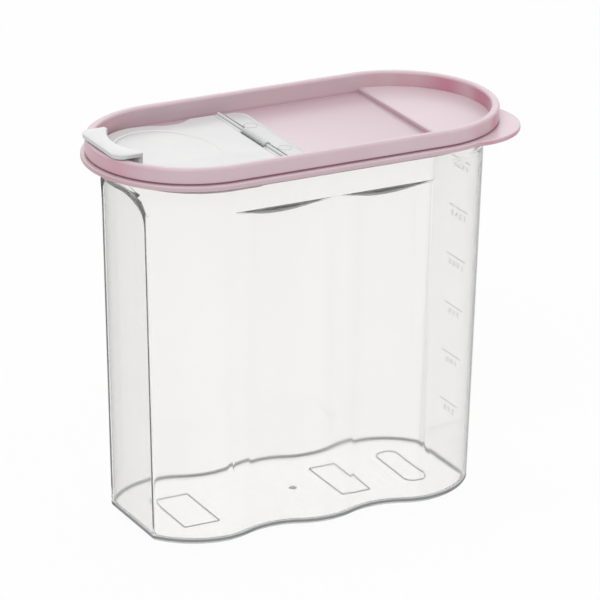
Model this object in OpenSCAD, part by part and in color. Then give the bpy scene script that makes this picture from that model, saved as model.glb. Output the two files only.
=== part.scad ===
// Cereal container with a press-on lid and a flip spout. Millimetres, Z up.
// The origin is the middle of the base. The spout is at -X, the front is -Y.
// The outlines of body and lid are racetracks: two round ends joined by straight sides.

/* [Container] */
// Height of the container from the table to its rim
body_h = 176.4; // [150:0.1:210]
// Thickness of the container wall
body_wall = 1.8; // [1.2:0.1:2.6]
// Thickness of the container floor
floor_t = 2.2; // [1.5:0.1:4]
// From the middle of the container to the centre of each round end
end_x = 51.5; // [46:0.5:60]
// Radius of the round ends at the table
base_r = 38.9; // [37.5:0.1:40.5]
// Radius of the round ends at the rim
rim_r = 42.8; // [41.5:0.1:45]
// How far the neck under the rim is drawn in at both ends
neck_in = 0.7; // [0.3:0.1:1.1]
// From the rim down to the foot of the neck
neck_drop = 6; // [5:0.1:6.6]
// Depth of the two hollow flutes in each long side
flute_depth = 5.3; // [3:0.1:6.5]
// How far the outer lobes stand past the centre of the round ends
lobe_past = 2.5; // [1:0.1:5]
// From the rim down to the top of the flutes
flute_drop = 13.4; // [11:0.1:25]
// Slope of the ledge that closes each flute, in degrees
ledge_slope = 40; // [20:1:60]
// How far the flat end panel is cut into the round end at the table
panel_cut = 7; // [5:0.1:8.5]
// Lean of the flat end panel away from the middle, in degrees
panel_lean = 1.6; // [1:0.1:1.8]
// From the rim down to the top of the panel's arch
arch_drop = 7.4; // [7:0.1:20]
// Half the width of the arch
arch_half = 22.4; // [20:0.1:24]
// Radius of the arch's two upper corners
arch_r = 14; // [6:0.5:18]

/* [Lid] */
// How far the collar's outer face stands out from the container's rim
collar_over = 4.9; // [4.4:0.1:7]
// Thickness of the collar wall
collar_wall = 3.9; // [2.8:0.1:4.2]
// Height of the collar's top above the rim
collar_rise = 11.6; // [9:0.1:16]
// How much further the collar's round ends sit from the middle than the rim's
lid_shift = 3.3; // [2.6:0.1:3.8]
// How far the flange stands out from the collar
flange_out = 2; // [1.2:0.1:3.5]
// Thickness of the flange
flange_t = 2.4; // [1.6:0.1:3]
// Height of the flange's underside above the rim
flange_rise = 1.4; // [1:0.1:1.8]
// Height of the shadow groove between the flange and the collar
groove_h = 0.9; // [0.5:0.1:1.5]
// Depth of the shadow groove
groove_depth = 0.8; // [0.4:0.1:1.2]
// Thickness of the lid's floor
deck_t = 1.9; // [1.6:0.1:2.6]
// Height of the step between the sunk floor and the raised floor
step_h = 2.5; // [2.2:0.1:3]
// From the middle to that step
step_x = 57.2; // [56.5:0.1:66]
// How much deeper the floor of the spout well lies than the sunk floor
well_drop = 3.5; // [3:0.1:4.5]
// From the middle to the wall of the spout well
well_x = -38; // [-39:0.1:-30]
// Thickness of the inner sealing skirt
plug_t = 1.6; // [1.2:0.1:2.2]
// How far the inner sealing skirt reaches into the container
plug_depth = 2.4; // [1.5:0.1:3]
// Thickness of the outer skirt
skirt_t = 1.8; // [1.2:0.1:2.2]
// How far the outer skirt reaches down over the container
skirt_depth = 0.6; // [0.3:0.1:1.5]
// Reach of the pull ear past the flange
ear_reach = 8.3; // [6:0.1:14]
// Radius of the pull ear
ear_r = 28.7; // [20:0.1:34]
// Direction of the pull ear, in degrees from +X towards the front
ear_turn = 40; // [20:1:60]

/* [Flip spout] */
// From the centre of the lid's round end to the centre of the pouring hole
spout_past = 10.8; // [10:0.1:11.2]
// From the front of the flap's sealing ring to the lid's inner sealing skirt
seal_front = 1.2; // [1.1:0.1:5]
// From the sides of the flap's sealing ring to the lid's inner sealing skirt
seal_side = 7.3; // [7:0.1:11]
// Thickness of the sealing ring
seal_t = 1.5; // [1:0.1:2.2]
// How far the sealing ring reaches through the floor of the spout well
seal_past = 0.2; // [0:0.1:1]
// From the flap's nose to the inside of the collar
nose_gap = 3.2; // [2.4:0.1:5]
// From the sides of the flap's round head to the inside of the collar
side_gap = 5; // [3.8:0.1:7]
// How far the flap's shoulders at the hinge stay inside the sides of its head
shoulder_in = 0.2; // [-1:0.1:2]
// Length of the flap's straight shoulders, along X
shoulder_l = 16.4; // [12:0.1:17]
// How deep the hollows of the flap's waist reach inside the sides of its head
waist_in = 4.3; // [2.8:0.1:5.5]
// From the centre of the pouring hole to the middle of the waist
waist_past = 18.7; // [17:0.1:20]
// Radius of the waist's hollows
waist_r = 16; // [14:0.1:18]
// Thickness of the flap
flap_t = 1.8; // [1.4:0.1:2]
// From the middle to the hinge line
hinge_x = -19.8; // [-21:0.1:-19]
// Radius of the flap's hinge rod
rod_r = 0.95; // [0.8:0.05:1.2]
// Wall of the clip round the hinge rod
clip_wall = 1; // [0.8:0.05:1.1]
// Half the length of the clip
clip_half = 11.2; // [8:0.1:14]
// How far the hinge plate's ends stay inside the sides of the flap's head
plate_in = 1.5; // [0.5:0.1:4]
// Width of the hinge plate, along X
plate_w = 9.8; // [9:0.1:12]
// Radius of the hinge plate's outer corners
plate_corner = 6; // [2:0.5:8]
// Distance between the hinge plate's two pegs
peg_pitch = 34.6; // [30:0.1:50]
// Radius of the pegs under the hinge plate
peg_r = 2.8; // [2:0.1:3]
// Radius of the round hollows over the pegs
dimple_r = 3.5; // [3.2:0.1:3.9]
// Radius of the thumb tab's curved wall
tab_r = 33.1; // [30:0.1:36]
// Half the width of the thumb tab's wall
tab_half = 18.5; // [14:0.1:21]
// Thickness of the thumb tab's wall
tab_wall = 1.9; // [1.4:0.1:2.4]
// Thickness of the thumb tab's lip
lip_t = 2; // [1.4:0.1:2.6]
// How far the lip stands past the wall at each side
lip_past = 1.5; // [1:0.1:3]
// How far the lip's front edge stays behind the collar's outer face
lip_back = 1.2; // [0.6:0.1:2]
// Length of the lip, along X
lip_l = 13.5; // [12:0.1:15]
// Radius of the lip's front corners
lip_corner = 6; // [3:0.1:10]

/* [Fits] */
// Gap between the lid's skirts and the container's rim
skirt_gap = 0.3; // [0.2:0.05:0.4]
// Height of the gap between the lid's seat and the rim
seat_gap = 0.2; // [0.1:0.05:0.4]
// Gap round the flap's sealing ring in the pouring hole
seal_gap = 0.35; // [0.25:0.05:0.5]
// Running gap between hinge rod and clip
rod_gap = 0.05; // [0.03:0.01:0.08]
// Gap between the hinge clip and the flap's window
window_gap = 0.5; // [0.3:0.05:0.8]
// Gap between a peg and its hole
peg_gap = 0.05; // [0.02:0.01:0.1]
// Height of the gap between the thumb tab's lip and the collar
lip_gap = 0.6; // [0.3:0.05:0.9]
// How far the hinge line lies below the flap's face
fold_gap = 0.1; // [0.05:0.01:0.2]

/* [Hidden] */
$fn = 96;
// Overlap that joins solids and clears cuts
eps = 0.5;
// Reach of blocks that cut right through the model
far = 300;
// Facets of the long, shallow arcs
fine = 192;

// Container levels and slopes
flute_top = body_h - flute_drop;
arch_top = body_h - arch_drop;
side_lean = atan((rim_r - base_r) / flute_top);
panel_x = end_x + base_r - panel_cut;
neck_z = body_h - neck_drop;
rim_x = end_x - neck_in;

// Wave of the long sides: equal arcs, hollow at two flutes and proud at three lobes
lobe_x = end_x + lobe_past;
flute_x = lobe_x / 2;
wave_turn = 2 * atan(flute_depth / flute_x);
wave_r = flute_x / (2 * sin(wave_turn));

// Lid levels
seat_z = body_h + seat_gap;
shelf_z = seat_z + deck_t;
raised_z = shelf_z + step_h;
collar_z = body_h + collar_rise;
flange_z = body_h + flange_rise;
well_z = shelf_z - well_drop;
well_under = well_z - deck_t;
plug_z = body_h - plug_depth;
skirt_z = body_h - skirt_depth;

// Lid outlines
lid_x = rim_x + lid_shift;
collar_r = rim_r + collar_over;
inner_r = collar_r - collar_wall;
flange_r = collar_r + flange_out;
plug_r = rim_r - body_wall - skirt_gap;
plug_in_r = plug_r - plug_t;
skirt_r = rim_r + skirt_gap;
edge_r = 0.7;
top_r = 1.2;
groove_z = flange_z + flange_t + groove_h;
ear_dist = flange_r + ear_reach - ear_r;

// Half widths of the flap and of the hinge plate
head_b = inner_r - side_gap;
shoulder_b = head_b - shoulder_in;
waist_b = head_b - waist_in;
plate_b = head_b - plate_in;

// Hinge and its pegs
hinge_z = raised_z - fold_gap;
bore_r = rod_r + rod_gap;
clip_r = bore_r + clip_wall;
clip_past = 0.3;
plate_x = hinge_x + clip_r + clip_past;
dimple_depth = 0.4;
peg_edge = 0.1;
peg_x = plate_x + dimple_r + peg_edge;
barb_h = 1;
barb_r = peg_r + 0.4;
lead_r = peg_r - 0.3;
barb_z = seat_z - peg_edge;

// Flap and its sealing ring
spout_x = -lid_x - spout_past;
head_a = inner_r - nose_gap - spout_past;
head_blunt = 5.8;
head_end_r = head_a - head_blunt;
seal_a = spout_x + rim_x + plug_in_r - seal_front;
seal_b = plug_in_r - seal_side;
seal_blunt = 3.8;
seal_end_r = seal_a - seal_blunt;
seal_z = well_under - seal_past;
flap_z = raised_z - flap_t;
window_r = clip_r + window_gap;
window_b = clip_half + window_gap;
waist_x = spout_x + waist_past;
shoulder_x = hinge_x - shoulder_l;
flank_x = spout_x + head_a / 4;
flank_b = shoulder_b - 1;

// Thumb tab, just inside the flap's nose
nose_in = 0.3;
tab_x = spout_x - head_a + nose_in + tab_r;
tab_in_r = tab_r - tab_wall;
lip_z = collar_z + lip_gap;
tab_top = lip_z + lip_t;
lip_x = -lid_x - collar_r + lip_back;
lip_half = tab_half + lip_past;

// A racetrack outline: round ends of radius r centred at +-x
module racetrack(x, r) {
    translate([-x, 0]) circle(r);
    translate([x, 0]) circle(r);
    square([2 * x, 2 * r], center = true);
}

// A racetrack plate from z1 up to z2
module slab(x, r, z1, z2) {
    translate([0, 0, z1]) linear_extrude(z2 - z1) racetrack(x, r);
}

// A racetrack ring between radii ri and ro
module band(x, ri, ro, z1, z2) {
    translate([0, 0, z1]) linear_extrude(z2 - z1) difference() {
        racetrack(x, ro);
        racetrack(x, ri);
    }
}

// A profile, radius across and height up, carried round a racetrack
module carry_round(x) {
    translate([x, 0, 0]) rotate([0, 0, -90]) rotate_extrude(angle = 180) children();
    translate([-x, 0, 0]) rotate([0, 0, 90]) rotate_extrude(angle = 180) children();
    translate([-x, 0, 0]) rotate([90, 0, 90]) linear_extrude(2 * x) children();
    translate([x, 0, 0]) rotate([90, 0, -90]) linear_extrude(2 * x) children();
}

// An oval of four arcs, a along X and b along Y, with end radius r
module oval(a, b, r) {
    side_r = (a * a + (b - r) * (b - r) - r * r) / (2 * (a - r));
    join = (b - r) * side_r / (side_r - r);
    join_x = (side_r - a) * r / (side_r - r);
    for (s = [-1, 1]) {
        translate([0, s * (b - r)]) circle(r);
        intersection() {
            translate([s * (a - side_r), 0]) circle(side_r, $fn = fine);
            translate([s * a, 0]) square([2 * a, 2 * join], center = true);
        }
    }
    square([2 * join_x, 2 * join], center = true);
}

// What the flutes of one long side take away, inset by t; y is the way into the wall
module flute_outline(t) {
    lobe_reach = (wave_r - t) * sin(wave_turn);
    lobe_y = wave_r - (wave_r - t) * cos(wave_turn);
    for (s = [-1, 1]) {
        intersection() {
            translate([s * flute_x, flute_depth - wave_r]) circle(wave_r + t, $fn = fine);
            translate([s * flute_x - flute_x, -wave_r]) square([2 * flute_x, 2 * wave_r]);
        }
        difference() {
            translate([s > 0 ? lobe_x - lobe_reach : -lobe_x, -wave_r])
                square([lobe_reach, wave_r + lobe_y]);
            translate([s * lobe_x, wave_r]) circle(wave_r - t, $fn = fine);
        }
    }
    difference() {
        translate([-lobe_reach, -wave_r]) square([2 * lobe_reach, wave_r + lobe_y]);
        translate([0, wave_r]) circle(wave_r - t, $fn = fine);
    }
}

// The flutes of the front, leaning with the wall and closed by sloping ledges
module flute_cutter(t) {
    translate([0, -base_r, 0]) rotate([side_lean, 0, 0]) difference() {
        translate([0, 0, -eps]) linear_extrude(flute_top + 2 * eps) flute_outline(t);
        translate([-lobe_x - eps, 0, flute_top + t]) rotate([-ledge_slope, 0, 0])
            translate([0, -2 * wave_r, 0]) cube([2 * lobe_x + 2 * eps, 4 * wave_r, wave_r]);
    }
}

// What the flat panel takes away at the +X end, inset by t
module panel_cutter(t) {
    translate([panel_x - t, 0, 0]) rotate([0, panel_lean, 0]) rotate([90, 0, 90])
        linear_extrude(base_r) {
            for (s = [-1, 1])
                translate([s * (arch_half - arch_r), arch_top - arch_r]) circle(arch_r + t);
            translate([-arch_half - t, -eps])
                square([2 * (arch_half + t), arch_top - arch_r + eps]);
            translate([arch_r - arch_half, 0])
                square([2 * (arch_half - arch_r), arch_top + t]);
        }
}

// Half section of the container up to its neck, inset by t
module half_section(t) {
    polygon([[0, 0], [base_r - t, 0], [rim_r - t, flute_top],
             [rim_r - t, neck_z - t], [0, neck_z - t]]);
}

// The container's outer form, or with t its inside, from z1 up to z2
module body_form(t, z1, z2) {
    difference() {
        intersection() {
            union() {
                for (s = [-1, 1])
                    translate([s * end_x, 0, 0]) rotate_extrude() half_section(t);
                rotate([90, 0, 90]) translate([0, 0, -end_x]) linear_extrude(2 * end_x)
                    for (s = [0, 1])
                        mirror([s, 0]) half_section(t);
                slab(rim_x, rim_r - t, neck_z - t - eps, body_h + 2 * eps);
            }
            slab(end_x, rim_r + eps, z1, z2);
        }
        for (s = [0, 1]) {
            mirror([0, s, 0]) flute_cutter(t);
            mirror([s, 0, 0]) panel_cutter(t);
        }
    }
}

// Clear container: a thin tapered shell with three lobes a side and flat ends
module container_body() {
    color("gainsboro", 0.4) difference() {
        body_form(0, 0, body_h);
        body_form(body_wall, floor_t, body_h + eps);
    }
}

// Section of the collar and flange: a wall with a round-edged top, a shadow groove and a lip
module collar_section() {
    translate([inner_r, flange_z])
        square([collar_wall - groove_depth, groove_z - flange_z + eps]);
    translate([inner_r, groove_z]) square([collar_wall, collar_z - top_r - groove_z]);
    translate([inner_r + top_r, groove_z]) square([collar_wall - 2 * top_r, collar_z - groove_z]);
    for (x = [inner_r + top_r, collar_r - top_r])
        translate([x, collar_z - top_r]) circle(top_r);
    translate([inner_r, flange_z]) square([flange_r - edge_r - inner_r, flange_t]);
    translate([flange_r - edge_r, flange_z + edge_r])
        square([edge_r, flange_t - 2 * edge_r]);
    for (h = [edge_r, flange_t - edge_r])
        translate([flange_r - edge_r, flange_z + h]) circle(edge_r);
}

// Rounded pull ear at the front of the +X end
module pull_ear() {
    translate([lid_x, 0, flange_z]) rotate([0, 0, -ear_turn]) difference() {
        translate([ear_dist, 0, 0]) cylinder(h = flange_t, r = ear_r);
        translate([0, 0, -eps]) cylinder(h = flange_t + 2 * eps, r = inner_r + collar_wall / 2);
    }
}

// The part between x1 and x2 of what it is given
module between(x1, x2) {
    intersection() {
        children();
        translate([x1, -far / 2, 0]) cube([x2 - x1, far, far]);
    }
}

// The lid's floors: the spout well, the sunk shelf and the raised end
module lid_floors() {
    floor_r = inner_r + collar_wall / 2;
    well_r = plug_r - plug_t / 2;
    between(-far, well_x) slab(rim_x, well_r, well_under, well_z);
    between(well_x, well_x + deck_t) slab(rim_x, well_r, well_under, shelf_z);
    between(well_x, step_x + deck_t) slab(lid_x, floor_r, seat_z, shelf_z);
    between(step_x, step_x + deck_t) slab(lid_x, floor_r, seat_z, raised_z);
    between(step_x, far) slab(lid_x, floor_r, raised_z - deck_t, raised_z);
}

// Seat on the rim, the inner sealing skirt and the outer skirt
module lid_skirts() {
    difference() {
        slab(lid_x, inner_r + collar_wall / 2, seat_z, shelf_z);
        slab(rim_x, plug_in_r, seat_z - eps, shelf_z + eps);
    }
    band(rim_x, plug_in_r, plug_r, plug_z, shelf_z);
    band(rim_x, skirt_r, skirt_r + skirt_t, skirt_z, shelf_z);
}

// Coloured lid: collar, flange, ear, floors and skirts
module lid_cover() {
    color("thistle") difference() {
        union() {
            carry_round(lid_x) collar_section();
            pull_ear();
            lid_floors();
            lid_skirts();
        }
        translate([spout_x, 0, well_under - eps]) linear_extrude(deck_t + 2 * eps)
            oval(seal_a + seal_gap, seal_b + seal_gap, seal_end_r);
        for (s = [-1, 1])
            translate([peg_x, s * peg_pitch / 2, seat_z - eps])
                cylinder(h = deck_t + 2 * eps, r = peg_r + peg_gap);
    }
}

// Outline of the hinge plate, with two round corners at the back
module plate_outline() {
    corner_x = plate_x + plate_w - plate_corner;
    corner_b = plate_b - plate_corner;
    translate([plate_x, -plate_b]) square([plate_w - plate_corner, 2 * plate_b]);
    translate([plate_x, -corner_b]) square([plate_w, 2 * corner_b]);
    intersection() {
        for (s = [-1, 1])
            translate([corner_x, s * corner_b]) circle(plate_corner);
        translate([corner_x - eps, -plate_b - eps]) square([plate_w, 2 * (plate_b + eps)]);
    }
}

// A peg under the hinge plate, with a barb below the lid's shelf
module hinge_peg() {
    translate([0, 0, barb_z - barb_h]) cylinder(h = barb_h, r1 = lead_r, r2 = barb_r);
    translate([0, 0, barb_z - eps]) cylinder(h = shelf_z - barb_z + 2 * eps, r = peg_r);
}

// Clear hinge plate, pegged to the lid, with the clip that holds the flap's rod
module hinge_plate() {
    color("whitesmoke", 0.6) difference() {
        union() {
            translate([0, 0, shelf_z]) linear_extrude(step_h) plate_outline();
            translate([hinge_x, clip_half, hinge_z]) rotate([90, 0, 0])
                cylinder(h = 2 * clip_half, r = clip_r);
            translate([hinge_x, -clip_half, hinge_z - clip_r])
                cube([plate_x + eps - hinge_x, 2 * clip_half, raised_z - hinge_z + clip_r]);
            for (s = [-1, 1])
                translate([peg_x, s * peg_pitch / 2, 0]) hinge_peg();
        }
        translate([hinge_x, clip_half + eps, hinge_z]) rotate([90, 0, 0])
            cylinder(h = 2 * (clip_half + eps), r = bore_r);
        for (s = [-1, 1])
            translate([peg_x, s * peg_pitch / 2, raised_z - dimple_depth])
                cylinder(h = dimple_depth + eps, r = dimple_r);
    }
}

// Outline of the flap: round head, waist and shoulders, with a window for the clip
module flap_outline() {
    difference() {
        union() {
            translate([spout_x, 0]) oval(head_a, head_b, head_end_r);
            translate([flank_x, -flank_b]) square([shoulder_x - flank_x, 2 * flank_b]);
            translate([shoulder_x, -shoulder_b]) square([shoulder_l, 2 * shoulder_b]);
        }
        for (s = [-1, 1])
            translate([waist_x, s * (waist_b + waist_r)]) circle(waist_r);
        translate([hinge_x - window_r, -window_b]) square([2 * window_r, 2 * window_b]);
    }
}

// Thumb tab: a curved wall at the flap's nose with a lip over the collar
module thumb_tab() {
    tab_h = tab_top - flap_z;
    intersection() {
        translate([tab_x, 0, flap_z]) difference() {
            cylinder(h = tab_h, r = tab_r);
            translate([0, 0, -eps]) cylinder(h = tab_h + 2 * eps, r = tab_in_r);
        }
        translate([tab_x - far, -tab_half, 0]) cube([far, 2 * tab_half, far]);
    }
    translate([0, 0, lip_z]) linear_extrude(lip_t) difference() {
        union() {
            translate([lip_x + lip_corner, -lip_half]) square([tab_r, 2 * lip_half]);
            translate([lip_x, lip_corner - lip_half]) square([tab_r, 2 * (lip_half - lip_corner)]);
            for (s = [-1, 1])
                translate([lip_x + lip_corner, s * (lip_half - lip_corner)]) circle(lip_corner);
        }
        translate([tab_x, 0]) circle(tab_in_r);
        translate([lip_x + lip_l, -lip_half - eps]) square([far, 2 * (lip_half + eps)]);
    }
}

// Clear flap: sheet, sealing ring, hinge rod and thumb tab
module spout_flap() {
    color("white", 0.6) {
        translate([0, 0, flap_z]) linear_extrude(flap_t) flap_outline();
        translate([spout_x, 0, seal_z]) linear_extrude(flap_z + eps - seal_z) difference() {
            oval(seal_a, seal_b, seal_end_r);
            oval(seal_a - seal_t, seal_b - seal_t, seal_end_r - seal_t);
        }
        translate([hinge_x, shoulder_b, hinge_z]) rotate([90, 0, 0])
            cylinder(h = 2 * shoulder_b, r = rod_r);
        thumb_tab();
    }
}

container_body();
lid_cover();
hinge_plate();
spout_flap();
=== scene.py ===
"""Cereal container with flip spout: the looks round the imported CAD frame.

Sizes are in millimetres and become metres when a mesh is made. Z is up, the spout is at -X
and the front is -Y, as in the frame. Every new surface is a grid of points, rows by columns:
columns run round an outline and rows run along its section.
"""

import logging
from collections.abc import Callable, Iterable
from dataclasses import dataclass, field
from enum import Enum

import bmesh
import bpy
import numpy as np
from mathutils import Matrix, Vector


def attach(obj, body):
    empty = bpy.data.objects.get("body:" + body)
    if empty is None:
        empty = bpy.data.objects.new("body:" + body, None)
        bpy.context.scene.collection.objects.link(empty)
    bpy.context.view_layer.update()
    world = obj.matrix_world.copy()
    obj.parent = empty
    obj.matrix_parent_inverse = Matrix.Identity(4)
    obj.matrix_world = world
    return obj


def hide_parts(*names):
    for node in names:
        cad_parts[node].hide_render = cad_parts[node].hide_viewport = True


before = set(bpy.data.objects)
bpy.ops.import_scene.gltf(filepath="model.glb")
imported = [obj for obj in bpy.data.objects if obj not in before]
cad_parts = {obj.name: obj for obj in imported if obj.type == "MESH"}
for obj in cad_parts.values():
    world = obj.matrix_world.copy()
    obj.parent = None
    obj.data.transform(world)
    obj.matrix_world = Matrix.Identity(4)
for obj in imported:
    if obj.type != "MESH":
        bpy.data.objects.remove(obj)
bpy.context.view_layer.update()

MM = 0.001
# Name of the point attribute that carries painted shade, up to 1, and frost, down to -1.
SHADE_AND_FROST = "depth"
Colour = tuple[float, float, float, float]
Pair = tuple[float, float]
Triple = tuple[float, float, float]
Line = tuple[Pair, Pair]
Profile = tuple[Pair, ...]
Array = np.ndarray
log = logging.getLogger("keeper")


class Body(Enum):
    """The bodies of the frame that a piece can ride on."""

    CONTAINER = "container"
    LID = "lid"
    FLAP = "flap"


class Slot(Enum):
    """The record's material slots."""

    BODY = "clear_body"
    LID = "lid_plastic"
    HINGE = "clear_hinge"
    FLAP = "clear_flap"


# ---------------------------------------------------------------- surfaces

# Rows of a plate's underside, and how far inside its rounded edge a row keeps the face flat.
LOWER_ROWS = 4
SUPPORT = 0.08
# Points nearer than this, in metres, are one. Numbers are kept at least that far from 0.
WELD = 2e-6
TINY = 1e-6


def linked(name: str, data: bpy.types.ID) -> bpy.types.Object:
    """A new object of some data, linked to the scene."""
    made = bpy.data.objects.new(name, data)
    bpy.context.scene.collection.objects.link(made)
    return made


def grid_faces(rows: int, columns: int, loop: bool) -> Array:
    """Quads of a grid whose columns join up, and with loop whose rows do too."""
    index = np.arange(rows * columns).reshape(rows, columns)
    here = index if loop else index[:-1]
    above = np.roll(index, -1, axis=0) if loop else index[1:]
    return np.stack([here, np.roll(here, -1, 1), np.roll(above, -1, 1), above], -1).reshape(-1, 4)


def weld(mesh: bpy.types.Mesh, near: float, *others: bpy.types.Mesh) -> None:
    """Adds other meshes to a mesh, joins points that near in metres, and turns all faces outward."""
    work = bmesh.new()
    for part in (mesh, *others):
        work.from_mesh(part)
    bmesh.ops.remove_doubles(work, verts=work.verts, dist=near)
    if not others:
        bmesh.ops.dissolve_degenerate(work, edges=work.edges, dist=1e-7)
    bmesh.ops.recalc_face_normals(work, faces=work.faces)
    work.to_mesh(mesh)
    work.free()


def grid_object(
    name: str, *grids: Array, loop: bool = False, sharp: float = 38.0, depth: float | Array = 0.0
) -> bpy.types.Object:
    """Makes a closed, outward-facing object of one grid of points or more.

    Args:
        name: Name of the piece.
        grids: Points in millimetres, rows by columns; the columns of each join up.
        loop: Whether the rows join up too. Otherwise both end rows lie on a line or point.
        sharp: Angle in degrees from which an edge is drawn sharp.
        depth: How much painted shade each point gets, up to 1, or how frosted it is, down to -1.

    Returns:
        The new object, at the origin, linked to the scene.
    """
    faces, count = [], 0
    for grid in grids:
        rows, columns = grid.shape[:2]
        faces.append(grid_faces(rows, columns, loop) + count)
        count += rows * columns
    points = np.concatenate([grid.reshape(-1, 3) for grid in grids]) * MM
    mesh = bpy.data.meshes.new(name)
    mesh.from_pydata(points.tolist(), [], np.concatenate(faces).tolist())
    shade = np.ravel(depth) if np.ndim(depth) else np.full(count, depth)
    mesh.attributes.new(SHADE_AND_FROST, "FLOAT", "POINT").data.foreach_set("value", shade.astype(np.float32))
    weld(mesh, WELD)
    mesh.shade_smooth()
    mesh.set_sharp_from_angle(angle=np.radians(sharp))
    return linked(name, mesh)


def outward(outline: Array) -> Array:
    """Outward unit normals of a counter-clockwise outline: its tangent turned by a quarter."""
    along = np.roll(outline, -1, 0) - np.roll(outline, 1, 0)
    normal = np.stack([along[:, 1], -along[:, 0]], -1)
    return normal / np.maximum(np.linalg.norm(normal, axis=1, keepdims=True), 1e-9)


def ring(outline: Array, height: float | Array) -> Array:
    """An outline lifted to a height, as one row of a grid."""
    return np.column_stack([outline, np.broadcast_to(height, len(outline))])


def cap_rows(outline: Array, height: float, line: Line, shares: Array) -> Array:
    """Flat rows from a middle line along X or Y out to an outline.

    A point of a row is axis + share * (outline - axis), and axis is the outline's point
    clipped to the line.

    Args:
        outline: The closed outline.
        height: Height of the cap.
        line: Both ends of the middle line.
        shares: How far out each row lies, from 0 to 1.

    Returns:
        The rows, as a grid.
    """
    axis = np.clip(outline, *line)
    return np.stack([ring(axis + share * (outline - axis), height) for share in shares])


def plate(
    outline: Array,
    low: float,
    high: float,
    edge: float,
    line: Line,
    relief: Callable[[Array, Array], Array] | None = None,
    rows: int = 6,
    support: float = SUPPORT,
) -> Array:
    """A plate with rounded edges.

    The outline is moved inwards by edge * (1 - sin turn) at a rise of edge * (1 - cos turn),
    which rounds both edges, and both faces close on the middle line.

    Args:
        outline: Counter-clockwise outline.
        low: Height of the underside.
        high: Height of the top.
        edge: Radius of the edges.
        line: Both ends of the middle line.
        relief: Height added to the top at each place, if any.
        rows: Rows of the upper face; the lower one has LOWER_ROWS.
        support: How far inside its edges a row keeps each face flat, or 0 for none.

    Returns:
        The grid of the closed plate.
    """
    normal = outward(outline)
    turn = np.linspace(0, np.pi / 2, 5)
    inset = edge * (1 - np.sin(turn))
    rise = edge * (1 - np.cos(turn))
    inner = outline - normal * edge
    flat = outline - normal * (edge + support)
    below = cap_rows(inner, low, line, np.linspace(0, 1, LOWER_ROWS))
    side = [ring(outline - normal * i, low + r) for i, r in zip(inset, rise)]
    side += [ring(outline - normal * i, high - r) for i, r in zip(inset[::-1], rise[::-1])]
    above = cap_rows(inner, high, line, np.linspace(1, 0, rows))
    if relief is not None:
        above[..., 2] += relief(above[..., 0], above[..., 1])
    if support:
        side = [ring(flat, low), *side, ring(flat, high)]
    return np.concatenate([below[:-1], side, above[1:]])


def plate_edge_shade(grid: Array, rows: int) -> Array:
    """Weight of a plate's painted edge shade: 1 on its rounded side and just inside its upper edge, and 0
    elsewhere.
    """
    weight = np.zeros(grid.shape[:2])
    weight[LOWER_ROWS : 1 - rows] = 1
    return weight


def lathe(profile: Array, centre: Pair, count: int = 48) -> Array:
    """A profile of radius and height turned round an upright line, as a grid."""
    turn = np.linspace(0, 2 * np.pi, count, endpoint=False)
    x = centre[0] + profile[:, :1] * np.cos(turn)
    y = centre[1] + profile[:, :1] * np.sin(turn)
    return np.stack([x, y, np.broadcast_to(profile[:, 1:], x.shape)], -1)


def lathe_y(
    profile: Iterable[tuple[float | Array, float]], centre: Pair, count: int
) -> Array:
    """A profile of radius and Y turned round a line along Y through an X and a Z, as a grid."""
    turn = np.linspace(0, 2 * np.pi, count, endpoint=False)
    return np.stack([
        np.column_stack([
            centre[0] + radius * np.cos(turn), np.full(count, y), centre[1] + radius * np.sin(turn)
        ])
        for radius, y in profile
    ])


def corner(centre: Pair, radius: float, start: float, end: float, count: int = 6) -> Array:
    """Points of an arc from start to end, in degrees."""
    turn = np.radians(np.linspace(start, end, count))
    return np.column_stack([centre[0] + radius * np.cos(turn), centre[1] + radius * np.sin(turn)])


def rounded(
    centre: Pair, half: Pair, radius: float, count: int = 6
) -> Array:
    """Outline of a rectangle with round corners, so many points each."""
    reach = np.array(half) - radius
    return np.concatenate([
        corner(centre + reach * sign, radius, start, start + 90, count)
        for sign, start in (((1, 1), 0), ((-1, 1), 90), ((-1, -1), 180), ((1, -1), 270))
    ])


def oval(a: float, b: float, end_r: float, count: int = 48) -> Array:
    """Outline of four tangent arcs: half length a along X, half width b along Y.

    The end arcs of radius end_r have their centres at b - end_r, and the side arcs are as
    large as lets them touch the end arcs and pass through a.
    """
    side_r = (a * a + (b - end_r) ** 2 - end_r**2) / (2 * (a - end_r))
    join = np.degrees(np.arctan2(b - end_r, side_r - a))
    return np.concatenate([
        corner((a - side_r, 0), side_r, -join, join, count)[:-1],
        corner((0, b - end_r), end_r, join, 180 - join, count)[:-1],
        corner((side_r - a, 0), side_r, 180 - join, 180 + join, count)[:-1],
        corner((0, end_r - b), end_r, 180 + join, 360 - join, count)[:-1],
    ])


def reach_of(shape: Array, seen: Array) -> Array:
    """How far a shape round the origin reaches at each of the angles seen, in radians."""
    angle = np.arctan2(shape[:, 1], shape[:, 0])
    order = np.argsort(angle)
    return np.interp(seen, angle[order], np.linalg.norm(shape, axis=1)[order], period=2 * np.pi)


def sink(off: Array, depth: float, width: float) -> Array:
    """A sink line's depth at a distance from its middle, as a narrow bell."""
    return -depth * np.exp(-((off / width) ** 2))


# ---------------------------------------------------------------- shader nodes


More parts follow.
